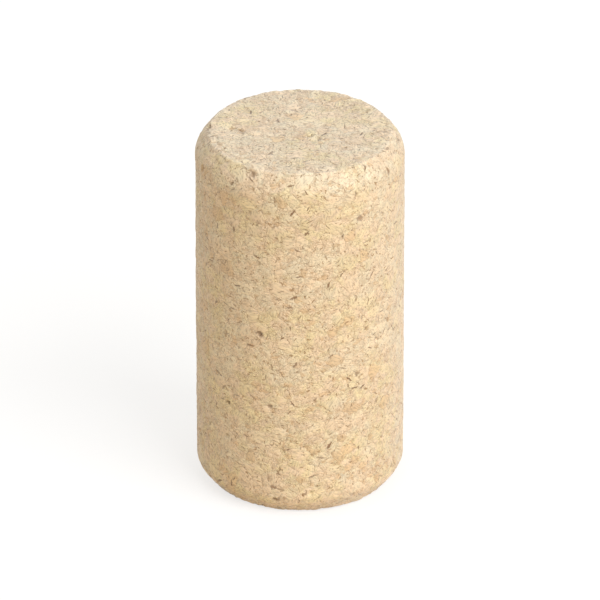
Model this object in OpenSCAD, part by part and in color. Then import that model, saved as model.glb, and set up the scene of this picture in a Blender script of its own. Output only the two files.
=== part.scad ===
// Stopper pressed and ground from fine cork granules.
// It stands on one end face, with its axis along Z and the middle of that face at the origin.
// The straight side seals in the neck of a bottle. The bevels at both ends guide it in either way up.

/* [Body] */
// Diameter of the straight side
body_d = 24; // [18:0.5:32]
// Length from one end face to the other
body_l = 44; // [28:1:60]

/* [Bevel] */
// How far the bevel cuts in from the side, across the end face
bevel_across = 1.5; // [0.5:0.1:3]
// How far the bevel runs back along the side
bevel_along = 2; // [0.5:0.1:3]

/* [Edges] */
// Radius that grinding leaves between the bevel and the side
side_edge_r = 2.4; // [0.4:0.2:4]
// Radius that grinding leaves between the bevel and the end face
face_edge_r = 0.4; // [0.1:0.1:0.8]

/* [Hidden] */
$fn = 128;

body_r = body_d / 2;
face_r = body_r - bevel_across;
bevel_length = norm([bevel_across, bevel_along]);
bevel_direction = [bevel_across, bevel_along] / bevel_length;

// The outline turns by these angles, first from face to bevel and then from bevel to side
face_turn = atan2(bevel_along, bevel_across);
side_turn = 90 - face_turn;

// Most of the bevel's length that each rounded edge may use up
side_edge_share = 0.6;
face_edge_share = 0.3;
side_tangent = min(side_edge_r * tan(side_turn / 2), side_edge_share * bevel_length);
face_tangent = min(face_edge_r * tan(face_turn / 2), face_edge_share * bevel_length);
side_round_r = side_tangent / tan(side_turn / 2);
face_round_r = face_tangent / tan(face_turn / 2);

// Corners of the outline before rounding, as [radius, height above the end face]
face_corner = [face_r, 0];
side_corner = [body_r, bevel_along];

// Where each rounded edge starts and ends, and the centre that it turns about
face_round_start = face_corner - [face_tangent, 0];
face_round_end = face_corner + face_tangent * bevel_direction;
face_round_centre = face_round_start + [0, face_round_r];
side_round_start = side_corner - side_tangent * bevel_direction;
side_round_end = side_corner + [0, side_tangent];
side_round_centre = side_round_end - [side_round_r, 0];

// Slice of a disc that fills a rounded edge, cut along the radii at its start and its end
module rounded_edge(centre, start, corner, end) {
    intersection() {
        translate(centre) circle(r = norm(start - centre));
        polygon([centre, 2 * start - centre, 2 * corner - centre, 2 * end - centre]);
    }
}

// Outline of one end, from the axis out to the side and up to half the body's length
module end_outline() {
    polygon([
        [0, 0],
        face_round_start,
        face_round_centre,
        face_round_end,
        side_round_start,
        side_round_centre,
        side_round_end,
        [body_r, body_l / 2],
        [0, body_l / 2]
    ]);
    rounded_edge(face_round_centre, face_round_start, face_corner, face_round_end);
    rounded_edge(side_round_centre, side_round_start, side_corner, side_round_end);
}

// The whole stopper is one solid of revolution, the same at both ends
module stopper() {
    color("burlywood")
    rotate_extrude() {
        end_outline();
        translate([0, body_l]) mirror([0, 1]) end_outline();
    }
}

stopper();
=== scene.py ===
import math

import bpy
import numpy as np
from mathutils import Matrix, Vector


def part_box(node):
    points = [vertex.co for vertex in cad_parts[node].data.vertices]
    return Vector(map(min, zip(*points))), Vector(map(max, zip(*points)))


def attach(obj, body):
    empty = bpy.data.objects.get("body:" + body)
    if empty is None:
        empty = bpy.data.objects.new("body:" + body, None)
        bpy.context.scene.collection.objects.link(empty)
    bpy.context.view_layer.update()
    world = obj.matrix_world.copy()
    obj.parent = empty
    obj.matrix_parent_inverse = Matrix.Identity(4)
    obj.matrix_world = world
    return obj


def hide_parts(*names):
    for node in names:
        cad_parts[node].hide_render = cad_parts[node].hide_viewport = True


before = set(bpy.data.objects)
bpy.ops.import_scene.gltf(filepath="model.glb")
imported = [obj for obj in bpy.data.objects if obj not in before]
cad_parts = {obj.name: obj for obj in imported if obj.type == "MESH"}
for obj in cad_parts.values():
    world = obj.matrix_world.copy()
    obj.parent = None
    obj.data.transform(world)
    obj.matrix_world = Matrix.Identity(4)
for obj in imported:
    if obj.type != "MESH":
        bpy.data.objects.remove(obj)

# The look of a stopper that is pressed and ground from cork granules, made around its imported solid

MM = 0.001  # metres in a millimetre, the unit of every size below unless it says otherwise

# The stopper's body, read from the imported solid
LOW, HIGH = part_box("stopper")
BODY_R = (HIGH.x - LOW.x) / 2 / MM
BODY_L = (HIGH.z - LOW.z) / MM

# Bevel and rounded edges, as in the part's source
BEVEL_ACROSS = 1.5
BEVEL_ALONG = 2.0
SIDE_EDGE_R = 2.4
FACE_EDGE_R = 0.4
FACE_R = BODY_R - BEVEL_ACROSS

# Mesh: rings of points are at most a pitch apart, which is just over 0.2 so that rounding adds no ring.
# Each rounded edge has its own number of points, and an end face has a square grid of cells.
PITCH = 0.201
FACE_EDGE_POINTS = 4
SIDE_EDGE_POINTS = 9
FACE_CELLS = 90
TURNED_OVER = [0, 3, 2, 1]  # order of a quad's corners that makes it face the other way

# Flat map that the material can be baked through, with a gap between its patches
MAP_NAME = "OFBake"
MAP_GAP = 0.5
FACE_PLACES = (1, 3.2)  # middles of the two end faces along the map, in radii of a face and its gap

# Pressed block that the stopper is ground from: flattened along the stopper's axis, then turned
SQUASH = 1.15
BLOCK_AXIS = (1, 2, 3)
BLOCK_ANGLE = 1.1  # radians

# Granules: a share of each size stays whole, and the next size takes the place of the rest
GRANULE_SIZES = (1.7, 1.0, 0.55)
WHOLE_SHARE = 0.4
GRANULE_WARP = dict(size=0.7, reach=0.5)

# Pits left by torn-out granules, in a small share of their own cells
PIT_SPACING = 0.8
PIT_SHARE = 0.009
PIT_SHIFT = (3.1, 7.7, 1.9)
PIT_WARP = dict(size=0.5, reach=0.4)
PIT_WALL = dict(off=0.02, on=0.24)

# Worn edge around an end face, which also carries a painted highlight, by the distance from it: where it
# begins and where it is full
RIM = dict(off=1.1, on=0.1)

# Relief: the most that each form is sunk into the ground body
SEAM_DEPTH = 0.05
SEAM_WIDTH = 0.26
GRANULE_DEPTH = 0.05
SWELL_DEPTH = 0.03
SWELLS = dict(size=0.6, detail=1.0)
PIT_DEPTH = 0.3
WORN_DEPTH = 0.06
CHIP_DEPTH = 0.09
CHIPS = dict(size=0.9, off=0.45, on=0.75, detail=1.0)

# Colours, linear, each with its alpha
CREAM = (0.83, 0.71, 0.52, 1)
GOLD = (0.83, 0.69, 0.43, 1)
ROSE = (0.84, 0.662, 0.468, 1)
# pale crumbs on the worn edge, partly a painted highlight
PALE_RUB_AND_HIGHLIGHT = (0.92, 0.80, 0.62, 1)
OCHRE = (0.68, 0.43, 0.20, 1)
TAN = (0.43, 0.25, 0.105, 1)
FLECK = (0.22, 0.105, 0.038, 1)
WHITE = (1, 1, 1, 1)

# Gold clouds in the cream, a rose blush over both, and granules that are rosier or ochre by chance
CLOUDS = dict(size=4.5, off=0.38, on=0.62)
BLUSH = dict(size=1.6, off=0.42, on=0.62)
BLUSH_SHIFT = (9.0, 2.0, 5.0)
ROSIER = dict(off=0.4, on=0.8, least=0.0, most=0.35)
OCHRE_SHARE = 0.08
OCHRE_MIX = 0.4

# Tones: from the darkest granule to the lightest, and from the darkest fibre in it to the lightest
GRANULE_TONES = (0.91, 1.05)
GRAIN = dict(size=0.2, detail=3.0)
GRAIN_STRETCH = 4.0
GRAIN_TONES = dict(off=0.28, on=0.6, least=0.72, most=1.11)

# Dark lines along broken stretches of the seams
LINE_WIDTH = 0.1
LINE_MIX = 0.3
BREAKS = dict(size=0.8, off=0.4, on=0.65)

# Thin dark flakes, one in each of a share of cells. The shift keeps the three kinds from lining up.
FINE_FLAKES = dict(spacing=0.65, radius=0.42, half_thickness=0.085, share=0.75, shift=(1.3, 4.1, 2.2))
SHORT_FLAKES = dict(spacing=0.42, radius=0.18, half_thickness=0.085, share=0.5, shift=(7.7, 2.4, 5.9))
LONG_FLAKES = dict(spacing=1.3, radius=0.72, half_thickness=0.13, share=0.5, shift=(5.3, 0.6, 3.7))
FLAKE_WARP = dict(size=0.25, reach=0.26)
FLAKE_FADE = dict(off=1.0, on=0.6)
FLAKE_SCALES = (0.5, 1.0)  # smallest and largest
FLAKE_MARKS = (0.45, 1.0)  # faintest and strongest
SMALL_MIX = 0.95
LONG_MIX = 0.88

# How much more sharply the end faces show fibres, seams and flakes, by the depth below the end
CUT = dict(off=0.5, on=0.2)
CUT_TONE = 0.2
CUT_MIDDLE_TONE = 1.06
CUT_LINE = 0.12
CUT_FLAKE = 0.25

# Painted shade on the floor of the pits, and pale crumbs on the worn edge, partly a painted highlight where
# the edge catches the light
PIT_SHADE_MIX = 0.6
RUB_AND_HIGHLIGHT_MIX = 0.3
CRUMBS = dict(size=0.35, off=0.35, on=0.6, detail=1.0)

# Surface: least and most roughness, sheen, and how far fibres rise and lines and flakes dip
ROUGHNESS = (0.45, 0.70)
SHEEN = 0.5
GRAIN_RISE = 0.05
LINE_DIP = 0.03
FLAKE_DIP = 0.05

# Floor, in metres: grey that glows to white where the camera sees it, and warm in the light it returns
FLOOR_HALF = 1.2
FLOOR_WARM = (0.65, 0.50, 0.31)
FLOOR_GREY = 0.33
FLOOR_GLOW = 0.70
FLOOR_ROUGHNESS = 0.9

# Sky: strength at the horizon and overhead, and the colour at the horizon, which fades upwards to white
SKY_STRENGTHS = (0.43, 0.70)
HORIZON = (1.0, 0.89, 0.66)

# Lamp, in metres and watts
LAMP_PLACE = (1.4, -1.4, 1.5)
LAMP_TARGET = (0, 0, 0.02)
LAMP_SIZE = 1.9
LAMP_POWER = 47.5

# Camera
ELEVATION = 28.6  # degrees
DISTANCE = 1.1  # metres
PIXELS_PER_MM = 8.7
IMAGE_PIXELS = 600
SENSOR = 36.0

# Sockets of a Mix node by number, since names repeat: its share and two colours, and its result
MIX_INPUTS = (0, 6, 7)
MIX_OUTPUT = 2

RANDOM_MIDDLE = (0.5, 0.5, 0.5)  # of a random colour


class Field:
    """A value that a node tree works out, written as arithmetic."""

    def __init__(self, tree, socket):
        self.tree = tree
        self.socket = socket

    def math(self, operation, *others):
        return node(self.tree, "ShaderNodeMath", self, *others, operation=operation)

    def __add__(self, other):
        return self.math("ADD", other)

    def __sub__(self, other):
        return self.math("SUBTRACT", other)

    def __rsub__(self, other):
        return node(self.tree, "ShaderNodeMath", other, self, operation="SUBTRACT")

    def __mul__(self, other):
        return self.math("MULTIPLY", other)

    def __truediv__(self, other):
        return self.math("DIVIDE", other)

    def __gt__(self, other):
        return self.math("GREATER_THAN", other)

    __radd__ = __add__
    __rmul__ = __mul__


def fill(tree, socket, value):
    """Joins a field to a node's input, or sets the input to a constant."""
    if isinstance(value, Field):
        tree.links.new(value.socket, socket)
    else:
        socket.default_value = value


def node(tree, kind, *inputs, output=0, named=None, **settings):
    """Adds a node and gives one of its outputs as a field."""
    made = tree.nodes.new(kind)
    for name, value in settings.items():
        setattr(made, name, value)
    for socket, value in zip(made.inputs, inputs):
        fill(tree, socket, value)
    for name, value in (named or {}).items():
        fill(tree, made.inputs[name], value)
    return Field(tree, made.outputs[output])


def vector_math(operation, *vectors, output="Vector", **named):
    return node(vectors[0].tree, "ShaderNodeVectorMath", *vectors, output=output, named=named,
                operation=operation)


def shifted(point, shift):
    return vector_math("ADD", point, shift)


def times(vector, factor):
    return vector_math("SCALE", vector, Scale=factor)


def unit(vector):
    return vector_math("NORMALIZE", vector)


def dot(first, second):
    return vector_math("DOT_PRODUCT", first, second, output="Value")


def centred(colour):
    """A random colour as a vector that may point any way."""
    return vector_math("SUBTRACT", colour, RANDOM_MIDDLE)


def parts(vector):
    """The three components of a vector or a colour."""
    split = node(vector.tree, "ShaderNodeSeparateXYZ", vector)
    return [Field(vector.tree, socket) for socket in split.socket.node.outputs]


def joined(x, y, z):
    return node(x.tree, "ShaderNodeCombineXYZ", x, y, z)


def blend(share, first, second):
    """A number that goes from first to second as the share goes from 0 to 1."""
    return first + share * (second - first)


def mixed(share, first, second):
    """A colour that goes from first to second as the share goes from 0 to 1."""
    made = share.tree.nodes.new("ShaderNodeMix")
    made.data_type = "RGBA"
    for socket, value in zip(MIX_INPUTS, (share, first, second)):
        fill(share.tree, made.inputs[socket], value)
    return Field(share.tree, made.outputs[MIX_OUTPUT])


def step(field, off, on, least=0.0, most=1.0):
    """A smooth step from least to most as the field goes from off to on."""
    settings = {"From Min": off, "From Max": on, "To Min": least, "To Max": most}
    return node(field.tree, "ShaderNodeMapRange", field, named=settings, interpolation_type="SMOOTHSTEP")


def noise(point, size, detail=2.0, output=0):
    """Smooth noise with features of about the given size."""
    settings = {"Vector": point, "Scale": 1 / size, "Detail": detail}
    return node(point.tree, "ShaderNodeTexNoise", named=settings, output=output)


def patches(point, size, off, on, detail=2.0):
    """Patches of about the given size: 0 where the noise is below off, and 1 where it is above on."""
    return step(noise(point, size, detail), off, on)


def cells(point, size, feature="F1", output="Distance"):
    """Cells of about the given size. A distance comes in millimetres."""
    settings = {"Vector": point, "Scale": 1 / size}
    found = node(point.tree, "ShaderNodeTexVoronoi", named=settings, output=output, feature=feature)
    return found * size if output == "Distance" else found


def warp(point, size, reach):
    """The point moved about by noise, so that what it draws has uneven edges."""
    return shifted(point, times(centred(noise(point, size, output="Color")), reach))


def along_grain(point, shades):
    """Space drawn out along a direction of each granule's own, as cork's rows of cells are."""
    direction = unit(centred(joined(*shades)))
    return shifted(point, times(direction, dot(point, direction) * (1 / GRAIN_STRETCH - 1)))


def radius_and_depth(position):
    """How far a point lies from the axis, and along it from the nearer end, in mm."""
    x, y, z = parts(times(position, 1 / MM))
    return (x * x + y * y).math("SQRT"), z.math("MINIMUM", BODY_L - z)


def block(position):
    """Where a point of the stopper lies in the pressed block, in mm."""
    point = vector_math("MULTIPLY", position, (1 / MM, 1 / MM, SQUASH / MM))
    settings = {"Vector": point, "Axis": BLOCK_AXIS, "Angle": BLOCK_ANGLE}
    return node(position.tree, "ShaderNodeVectorRotate", named=settings)


def granules(point):
    """Distance to the nearest seam, and three random shades for each granule."""
    pressed = warp(point, **GRANULE_WARP)
    largest = GRANULE_SIZES[0]
    seam = cells(pressed, largest, "DISTANCE_TO_EDGE")
    shades = parts(cells(pressed, largest, output="Color"))
    for size in GRANULE_SIZES[1:]:
        crushed = shades[2] > WHOLE_SHARE
        finer_seam = cells(pressed, size, "DISTANCE_TO_EDGE") + (1 - crushed) * largest
        finer = parts(cells(pressed, size, output="Color"))
        seam = seam.math("MINIMUM", finer_seam)
        shades = [blend(crushed, one, other) for one, other in zip(shades, finer)]
    return seam, shades


def pits(point):
    """Hollows left by granules that tore out, 1 at their floor."""
    ragged = warp(shifted(point, PIT_SHIFT), **PIT_WARP)
    wall = cells(ragged, PIT_SPACING, "DISTANCE_TO_EDGE")
    chance, _, _ = parts(cells(ragged, PIT_SPACING, output="Color"))
    return step(wall, **PIT_WALL) * (chance > 1 - PIT_SHARE)


def rim(position):
    """1 on the edge between an end face and its bevel, falling to 0 a little way off."""
    radius, depth = radius_and_depth(position)
    across = radius - FACE_R
    return step((across * across + depth * depth).math("SQRT"), **RIM)


def flakes(point, spacing, radius, half_thickness, share, shift):
    """How strongly scattered thin discs mark a point. Each has its own direction, size and strength."""
    place = shifted(point, shift)
    centre = cells(place, spacing, output="Position")
    chance, grow, dark = parts(node(point.tree, "ShaderNodeTexWhiteNoise", centre, output="Color"))
    axis = unit(centred(cells(place, spacing, output="Color")))
    off = vector_math("SUBTRACT", place, centre)
    rise = dot(off, axis)
    rise = rise * rise
    far = ((dot(off, off) - rise) / radius ** 2 + rise / half_thickness ** 2).math("SQRT")
    inside = step(far / blend(grow, *FLAKE_SCALES), **FLAKE_FADE)
    return inside * (chance > 1 - share) * blend(dark, *FLAKE_MARKS)


def arc(centre, radius, start, end, count):
    """Points on a rounded edge, between two angles that the outline has turned by since the face."""
    return [(centre[0] + radius * math.sin(turn), centre[1] - radius * math.cos(turn))
            for turn in np.linspace(start, end, count)]


def straight(start, end):
    """Points of the outline between two ends, at most a pitch apart, without the ends."""
    count = math.ceil(math.dist(start, end) / PITCH) + 1
    return [tuple(point) for point in np.linspace(start, end, count)[1:-1]]


def outline():
    """Radius and height of each ring of points, from the flat of an end face to half the length."""
    turn = math.atan2(BEVEL_ALONG, BEVEL_ACROSS)
    right = math.pi / 2
    face_tangent = FACE_EDGE_R * math.tan(turn / 2)
    side_tangent = SIDE_EDGE_R * math.tan((right - turn) / 2)
    face_centre = (FACE_R - face_tangent, FACE_EDGE_R)
    side_centre = (BODY_R - SIDE_EDGE_R, BEVEL_ALONG + side_tangent)
    face_edge = arc(face_centre, FACE_EDGE_R, 0, turn, FACE_EDGE_POINTS)
    side_edge = arc(side_centre, SIDE_EDGE_R, turn, right, SIDE_EDGE_POINTS)
    middle = (BODY_R, BODY_L / 2)
    bevel = straight(face_edge[-1], side_edge[0])
    return face_edge + bevel + side_edge + straight(side_edge[-1], middle) + [middle]


def disc():
    """A square grid of points bent onto a disc of radius 1, with cells of nearly one size."""
    steps = np.linspace(-1, 1, FACE_CELLS + 1)
    u, v = np.meshgrid(steps, steps)
    wide = np.abs(u) > np.abs(v)
    with np.errstate(divide="ignore", invalid="ignore"):
        radius = np.where(wide, u, v)
        angle = np.where(wide, math.pi / 4 * v / u, math.pi / 2 - math.pi / 4 * u / v)
    angle = np.nan_to_num(angle)
    return radius * np.cos(angle), radius * np.sin(angle)


def border(index):
    """The points around a square grid, counter-clockwise from its first corner."""
    return np.concatenate([index[0, :-1], index[:-1, -1], index[-1, :0:-1], index[:0:-1, 0]])


def grid_quads(index):
    """The quads of a square grid of points, facing up."""
    corners = (index[:-1, :-1], index[:-1, 1:], index[1:, 1:], index[1:, :-1])
    return np.stack(corners, -1).reshape(-1, 4)


def flat_map(rows, turns, x, y):
    """Where each corner of each quad lies on a flat map: the side as a strip, with the two faces over it."""
    flat_r = rows[0][0]
    width = 2 * math.pi * BODY_R + MAP_GAP
    length = np.cumsum([0] + [math.dist(low, high) for low, high in zip(rows, rows[1:])])
    height = length[-1] + 2 * flat_r + 3 * MAP_GAP
    near = (np.arange(turns) / turns * (width - MAP_GAP) + MAP_GAP / 2) / width
    far = near + (width - MAP_GAP) / turns / width
    strip = []
    for low, high in zip(length, length[1:]):
        below = np.full(turns, (low + MAP_GAP) / height)
        above = np.full(turns, (high + MAP_GAP) / height)
        strip.append(np.stack([near, below, far, below, far, above, near, above], 1).reshape(-1, 4, 2))
    faces = []
    for place in FACE_PLACES:
        u = (place * (flat_r + MAP_GAP) + x * flat_r) / width
        v = (length[-1] + 2 * MAP_GAP + flat_r + y * flat_r) / height
        faces.append(np.stack([u.ravel(), v.ravel()], 1))
    return faces, strip


def stopper_mesh():
    """The ground body: a square grid on each end face, and rings of quads between them."""
    rows = outline()
    rows += [(r, BODY_L - z) for r, z in reversed(rows[:-1])]
    x, y = disc()
    index = np.arange(x.size).reshape(x.shape)
    edge = border(index)
    turns = len(edge)
    angle = np.arctan2(y.ravel()[edge], x.ravel()[edge])
    flat_r = rows[0][0]
    face = np.stack([x.ravel() * flat_r, y.ravel() * flat_r, np.zeros(x.size)], 1)
    side = [np.stack([r * np.cos(angle), r * np.sin(angle), np.full(turns, z)], 1) for r, z in rows[1:-1]]
    points = np.concatenate([face, *side, face + (0, 0, BODY_L)])
    top_start = len(points) - len(face)
    rings = [start + np.arange(turns) for start in range(len(face), top_start, turns)]
    rings = [edge, *rings, top_start + edge]
    top = grid_quads(index)
    bottom = top[:, TURNED_OVER]
    strips = [np.stack([low, np.roll(low, -1), np.roll(high, -1), high], 1)
              for low, high in zip(rings, rings[1:])]
    mesh = bpy.data.meshes.new("ground_body")
    mesh.from_pydata(points * MM, [], np.concatenate([bottom, top + top_start, *strips]))
    mesh.shade_smooth()
    (low_face, high_face), strip_places = flat_map(rows, turns, x, y)
    places = np.concatenate([low_face[bottom], high_face[top], *strip_places])
    layer = mesh.uv_layers.new(name=MAP_NAME)
    layer.uv.foreach_set("vector", places.astype(np.float32).ravel())
    return mesh


def relief(position):
    """How far the ground body is sunk at a point, in mm."""
    point = block(position)
    seam, shades = granules(point)
    worn = rim(position)
    sunk = SEAM_DEPTH * step(seam, SEAM_WIDTH, 0.0) + GRANULE_DEPTH * shades[0]
    sunk = sunk + SWELL_DEPTH * noise(point, **SWELLS) + PIT_DEPTH * pits(point)
    return sunk + WORN_DEPTH * worn * shades[1] + CHIP_DEPTH * worn * patches(point, **CHIPS)


def relief_tree():
    """Sinks seams, granules, pits and worn edges into the ground body, and never raises it."""
    tree = bpy.data.node_groups.new("relief", "GeometryNodeTree")
    for in_out in ("INPUT", "OUTPUT"):
        tree.interface.new_socket("Geometry", in_out=in_out, socket_type="NodeSocketGeometry")
    body = node(tree, "NodeGroupInput")
    position = node(tree, "GeometryNodeInputPosition")
    normal = node(tree, "GeometryNodeInputNormal")
    offset = times(normal, relief(position) * -MM)
    sunk = node(tree, "GeometryNodeSetPosition", named={"Geometry": body, "Offset": offset})
    end = tree.nodes.new("NodeGroupOutput")
    fill(tree, end.inputs[0], sunk)
    return tree


def new_material(name):
    """A material, and the shader in it."""
    material = bpy.data.materials.new(name)
    material.use_nodes = True
    return material, material.node_tree.nodes["Principled BSDF"]


def granule_colour(point, shades):
    """Cream, gold and rose in soft patches, with some granules rosier and a few ochre."""
    base = mixed(patches(point, **CLOUDS), CREAM, GOLD)
    base = mixed(patches(shifted(point, BLUSH_SHIFT), **BLUSH), base, ROSE)
    base = mixed(step(shades[1], **ROSIER), base, ROSE)
    return mixed(OCHRE_MIX * (shades[1] > 1 - OCHRE_SHARE), base, OCHRE)


def add_tones(base, shades, grain, cut):
    """A tone for each granule, and lighter and darker fibres in it."""
    tone = blend(shades[0], *GRANULE_TONES) * step(grain, **GRAIN_TONES)
    return times(base, tone + CUT_TONE * cut * (tone - CUT_MIDDLE_TONE))


def add_lines(base, point, line, cut):
    """Dark lines along the seams, broken here and there."""
    broken = patches(point, **BREAKS)
    return mixed(line * (LINE_MIX * broken + CUT_LINE * cut), base, TAN)


def add_flakes(base, point, cut):
    """Thin dark flakes in three sizes, and how strongly they mark each point."""
    ragged = warp(point, **FLAKE_WARP)
    small = flakes(ragged, **FINE_FLAKES).math("MAXIMUM", flakes(ragged, **SHORT_FLAKES))
    long = flakes(ragged, **LONG_FLAKES)
    base = mixed(SMALL_MIX * small, base, TAN)
    base = mixed(LONG_MIX * long, base, FLECK)
    marks = small.math("MAXIMUM", long)
    return times(base, 1 - CUT_FLAKE * cut * marks), marks


def add_pit_shade_and_pale_edge(base, point, position):
    """Painted shade on the floor of the pits, and pale crumbs on the worn edges, partly a painted highlight.
    """
    # painted shade: the floor of each pit is darkened towards the fleck colour
    base = mixed(PIT_SHADE_MIX * pits(point), base, FLECK)
    worn = rim(position)
    # pale crumbs rubbed off the worn edge, partly a painted highlight where the edge catches the light
    return mixed(RUB_AND_HIGHLIGHT_MIX * worn * worn * worn * patches(point, **CRUMBS), base, PALE_RUB_AND_HIGHLIGHT)


def cork_material():
    material, shader = new_material("cork")
    tree = material.node_tree
    position = node(tree, "ShaderNodeTexCoord", output="Object")
    point = block(position)
    seam, shades = granules(point)
    grain = noise(along_grain(point, shades), **GRAIN)
    line = step(seam, LINE_WIDTH, 0.0)
    _, depth = radius_and_depth(position)
    cut = step(depth, **CUT)
    base = add_tones(granule_colour(point, shades), shades, grain, cut)
    base = add_lines(base, point, line, cut)
    base, marks = add_flakes(base, point, cut)
    base = add_pit_shade_and_pale_edge(base, point, position)
    height = GRAIN_RISE * grain - LINE_DIP * line - FLAKE_DIP * marks
    bump = node(tree, "ShaderNodeBump", named={"Distance": MM, "Height": height}, output="Normal")
    fill(tree, shader.inputs["Base Color"], base)
    fill(tree, shader.inputs["Roughness"], blend(grain, *ROUGHNESS))
    fill(tree, shader.inputs["Sheen Weight"], SHEEN)
    fill(tree, shader.inputs["Normal"], bump)
    return material


def background_ray(tree):
    """1 for the rays that show the background: straight from the camera, off gloss and through glass."""
    path = node(tree, "ShaderNodeLightPath").socket.node
    camera, glossy, through = [Field(tree, path.outputs["Is " + kind + " Ray"])
                               for kind in ("Camera", "Glossy", "Transmission")]
    return camera.math("MAXIMUM", glossy).math("MAXIMUM", through)


def floor_material():
    material, shader = new_material("floor")
    tree = material.node_tree
    seen = background_ray(tree)
    fill(tree, shader.inputs["Base Color"], joined(*[blend(seen, warm, FLOOR_GREY) for warm in FLOOR_WARM]))
    fill(tree, shader.inputs["Roughness"], FLOOR_ROUGHNESS)
    fill(tree, shader.inputs["Emission Color"], WHITE)
    fill(tree, shader.inputs["Emission Strength"], FLOOR_GLOW * seen)
    return material


def add_object(name, data):
    item = bpy.data.objects.new(name, data)
    bpy.context.collection.objects.link(item)
    return item


def add_stopper():
    ground = add_object("ground_body", stopper_mesh())
    modifier = ground.modifiers.new("relief", "NODES")
    modifier.node_group = relief_tree()
    sunk = ground.evaluated_get(bpy.context.evaluated_depsgraph_get())
    mesh = bpy.data.meshes.new_from_object(sunk)
    bpy.data.objects.remove(ground)
    mesh.name = "stopper_cork"
    mesh.materials.clear()
    mesh.materials.append(cork_material())
    piece = add_object("stopper_cork", mesh)
    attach(piece, "root")
    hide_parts("stopper")


def add_floor():
    low, high = -FLOOR_HALF, FLOOR_HALF
    mesh = bpy.data.meshes.new("floor")
    mesh.from_pydata([(low, low, 0), (high, low, 0), (high, high, 0), (low, high, 0)], [], [(0, 1, 2, 3)])
    mesh.materials.append(floor_material())
    add_object("floor", mesh)


def add_world():
    world = bpy.data.worlds.new("studio")
    world.use_nodes = True
    tree = world.node_tree
    background = tree.nodes["Background"]
    seen = background_ray(tree)
    _, _, height = parts(node(tree, "ShaderNodeTexCoord", output="Generated"))
    sky = step(height, 0.0, 1.0)
    tint = [blend(seen, blend(sky, channel, 1.0), 1.0) for channel in HORIZON]
    fill(tree, background.inputs["Color"], joined(*tint))
    fill(tree, background.inputs["Strength"], blend(seen, blend(sky, *SKY_STRENGTHS), 1.0))
    bpy.context.scene.world = world


def add_lamp():
    lamp = bpy.data.lights.new("key", "AREA")
    lamp.size = LAMP_SIZE
    lamp.energy = LAMP_POWER
    item = add_object("key", lamp)
    item.location = LAMP_PLACE
    item.rotation_euler = (Vector(LAMP_TARGET) - item.location).to_track_quat("-Z", "Y").to_euler()


def add_camera():
    camera = bpy.data.cameras.new("camera")
    camera.sensor_width = SENSOR
    camera.lens = PIXELS_PER_MM * DISTANCE / MM * SENSOR / IMAGE_PIXELS
    up = math.radians(ELEVATION)
    back = Vector((0, -math.cos(up), math.sin(up)))
    item = add_object("camera", camera)
    item.location = Vector((0, 0, BODY_L / 2 * MM)) + DISTANCE * back
    item.rotation_euler = back.to_track_quat("Z", "Y").to_euler()
    bpy.context.scene.camera = item


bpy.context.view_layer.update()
add_camera()
add_stopper()
add_floor()
add_world()
add_lamp()
bpy.context.scene.view_settings.view_transform = "Standard"
